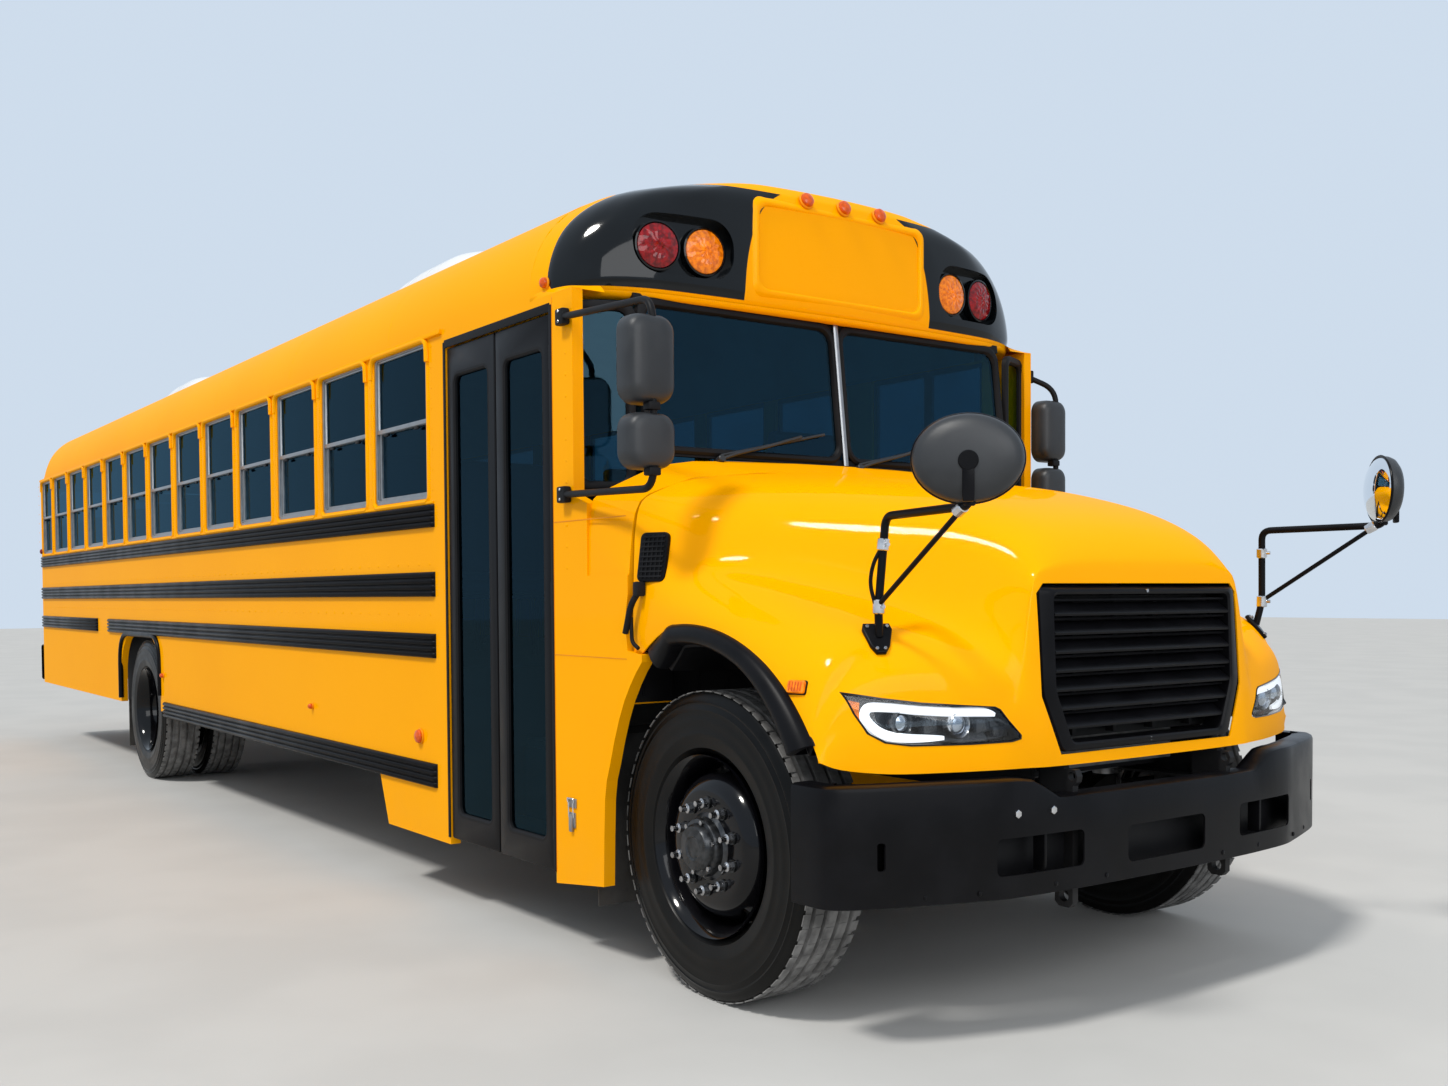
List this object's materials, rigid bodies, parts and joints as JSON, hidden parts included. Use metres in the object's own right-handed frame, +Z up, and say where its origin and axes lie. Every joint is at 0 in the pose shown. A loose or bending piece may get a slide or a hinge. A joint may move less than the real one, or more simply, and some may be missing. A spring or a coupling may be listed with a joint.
{
  "type": "school bus",
  "caption": "Full-size conventional school bus with a tilting hood, folding entry door, rear emergency door, steered front wheels and twin rear wheels.",
  "frame": {"origin": "on the ground, under the middle of the overall length and width", "axes": "+X forward, +Y to the bus's left, +Z up"},
  "size_m": [12.2502, 2.79, 3.185],
  "materials": {
    "yellow_paint": "gloss",
    "red_paint": "gloss",
    "chassis_black": "satin",
    "wheel_black": "gloss",
    "black_trim": "satin",
    "black_plastic": "matte",
    "black_rubber": "matte",
    "dash_plastic": "matte",
    "white_cover": "gloss",
    "floor_grey": "matte",
    "engine_grey": "matte",
    "exhaust_steel": "satin",
    "steel": "satin",
    "sash_aluminium": "satin",
    "glass": "gloss",
    "headlight_lens": "gloss",
    "amber_lens": "gloss",
    "seat_vinyl": "satin",
    "tyre": "matte"
  },
  "bodies": {
    "root": {"chassis_frame": "chassis_black", "front_axle": "chassis_black", "rear_axle": "chassis_black", "engine": "engine_grey", "exhaust": "exhaust_steel", "fuel_tank": "chassis_black", "floor": "floor_grey", "wheel_housings": "floor_grey", "entry_steps": "floor_grey", "side_panels": "yellow_paint", "body_posts": "yellow_paint", "roof": "yellow_paint", "roof_caps": "yellow_paint", "rear_wall": "yellow_paint", "cowl": "yellow_paint", "windshield_frame": "black_rubber", "window_sashes": "sash_aluminium", "window_glass": "glass", "rub_rails": "black_trim", "roof_air_conditioners": "white_cover", "bumpers": "black_trim", "exterior_lamps": "amber_lens", "side_mirrors": "black_plastic", "wipers": "black_plastic", "mud_flaps": "black_rubber", "seats": "seat_vinyl", "dashboard": "dash_plastic"},
    "hood_assembly": {"hood": "yellow_paint", "grille": "black_trim", "headlights": "headlight_lens", "crossover_mirrors": "black_plastic", "fender_flares": "black_rubber"},
    "door_leaf_front": {"entry_door_front": "black_trim"},
    "door_leaf_rear": {"entry_door_rear": "black_trim"},
    "emergency_door": {"rear_door": "yellow_paint"},
    "stop_sign_arm": {"stop_arm": "red_paint"},
    "steering": {"steering_wheel": "black_plastic"},
    "steering_knuckle_right": {"knuckle_right": "steel"},
    "steering_knuckle_left": {"knuckle_left": "steel"},
    "wheel_front_right_assembly": {"tyre_front_right": "tyre", "wheel_front_right": "wheel_black"},
    "wheel_front_left_assembly": {"tyre_front_left": "tyre", "wheel_front_left": "wheel_black"},
    "wheel_rear_right_assembly": {"tyre_rear_right": "tyre", "wheel_rear_right": "wheel_black"},
    "wheel_rear_left_assembly": {"tyre_rear_left": "tyre", "wheel_rear_left": "wheel_black"}
  },
  "joints": [
    {"name": "steer_left", "type": "hinge", "parent": "root", "child": "steering_knuckle_left", "pos_m": [4.934, 0.88, 0.508], "axis": [0, 0, 1], "range_deg": [-38, 38]},
    {"name": "steer_right", "type": "hinge", "parent": "root", "child": "steering_knuckle_right", "pos_m": [4.934, -0.88, 0.508], "axis": [0, 0, 1], "range_deg": [-38, 38]},
    {"name": "steering_wheel_turn", "type": "hinge", "parent": "root", "child": "steering", "pos_m": [3.949, 0.62, 1.77], "axis": [-0.829, 0, 0.5592], "range_deg": [-700, 700]},
    {"name": "front_left_spin", "type": "hinge", "parent": "steering_knuckle_left", "child": "wheel_front_left_assembly", "pos_m": [4.934, 1.005, 0.508], "axis": [0, 1, 0], "continuous": true},
    {"name": "front_right_spin", "type": "hinge", "parent": "steering_knuckle_right", "child": "wheel_front_right_assembly", "pos_m": [4.934, -1.005, 0.508], "axis": [0, 1, 0], "continuous": true},
    {"name": "rear_left_spin", "type": "hinge", "parent": "root", "child": "wheel_rear_left_assembly", "pos_m": [-2.146, 1.062, 0.508], "axis": [0, 1, 0], "continuous": true},
    {"name": "rear_right_spin", "type": "hinge", "parent": "root", "child": "wheel_rear_right_assembly", "pos_m": [-2.146, -1.062, 0.508], "axis": [0, 1, 0], "continuous": true},
    {"name": "hood_tilt", "type": "hinge", "parent": "root", "child": "hood_assembly", "pos_m": [5.834, 0, 0.77], "axis": [0, 1, 0], "range_deg": [0, 75]},
    {"name": "entry_door_front_swing", "type": "hinge", "parent": "root", "child": "door_leaf_front", "pos_m": [4.063, -1.215, 1.35], "axis": [0, 0, 1], "range_deg": [0, 88]},
    {"name": "entry_door_rear_swing", "type": "hinge", "parent": "root", "child": "door_leaf_rear", "pos_m": [3.174, -1.215, 1.35], "axis": [0, 0, -1], "range_deg": [0, 88]},
    {"name": "rear_door_swing", "type": "hinge", "parent": "root", "child": "emergency_door", "pos_m": [-5.99, -0.482, 1.69], "axis": [0, 0, 1], "range_deg": [0, 110]},
    {"name": "stop_arm_swing", "type": "hinge", "parent": "root", "child": "stop_sign_arm", "pos_m": [3.084, 1.253, 1.55], "axis": [0, 0, -1], "range_deg": [0, 90]}
  ],
  "couplings": [
    {"joint": "steer_right", "follows": "steer_left", "ratio": 1},
    {"joint": "steering_wheel_turn", "follows": "steer_left", "ratio": 18}
  ]
}
